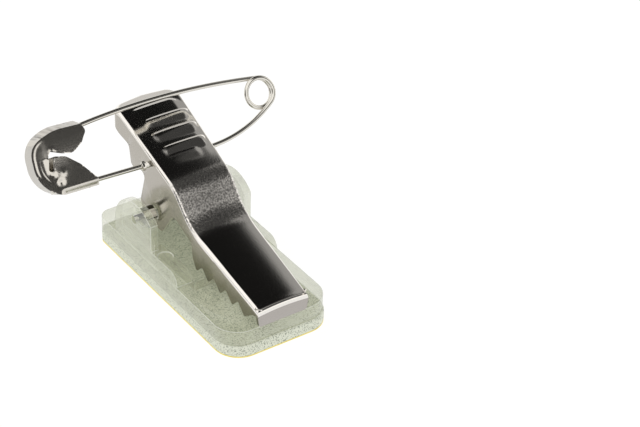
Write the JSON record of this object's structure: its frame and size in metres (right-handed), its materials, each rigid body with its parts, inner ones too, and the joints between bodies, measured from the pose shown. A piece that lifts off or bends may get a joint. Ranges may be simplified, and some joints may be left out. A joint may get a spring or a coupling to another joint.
{
  "type": "combination badge clip",
  "caption": "Self-adhesive badge clip: a sprung toothed metal jaw and a safety pin on a clear plastic base with a foam pad.",
  "frame": {"origin": "on the adhesive pad's sticking face, the outside of the release liner, on its long middle line and 15 mm behind its front end", "axes": "+Z away from the badge, -Y to the tip of the jaw, +Y to the handle, +X across the clip towards the coil of the safety pin"},
  "size_m": [0.0371, 0.0346, 0.0231],
  "materials": {
    "liner": "matte coated paper",
    "foam": "fine-celled adhesive foam",
    "clear_plastic": "clear moulded plastic with a faint green tint",
    "spring_steel": "spring steel strip",
    "plated_sheet": "bright nickel plate",
    "plated_wire": "bright nickel-plated wire"
  },
  "bodies": {
    "base": {"base_plate": "clear_plastic", "foam_pad": "foam", "release_liner": "liner", "leaf_spring": "spring_steel"},
    "jaw": {"jaw": "plated_sheet"},
    "pin": {"pin_wire": "plated_wire", "pin_cap": "plated_sheet"},
    "pin_arm": {"pin_arm": "plated_wire"}
  },
  "joints": [
    {"name": "jaw_pivot", "type": "hinge", "parent": "base", "child": "jaw", "pos_m": [0, 0.0087, 0.0082], "axis": [-1, 0, 0], "range_deg": [0, 22], "stiffness_Nm_per_rad": 0.01, "springref_deg": -28.65, "deforming": ["leaf_spring"]},
    {"name": "pin_swing", "type": "hinge", "parent": "jaw", "child": "pin", "pos_m": [0, 0.00955, 0.0151], "axis": [0.999, -0.0227, -0.0393], "range_deg": [-16, 120]},
    {"name": "pin_squeeze", "type": "hinge", "parent": "pin", "child": "pin_arm", "pos_m": [0.01412, 0.01209, 0.01879], "axis": [0, -0.866, 0.5], "range_deg": [0, 5], "stiffness_Nm_per_rad": 0.0001, "springref_deg": -28.65}
  ]
}
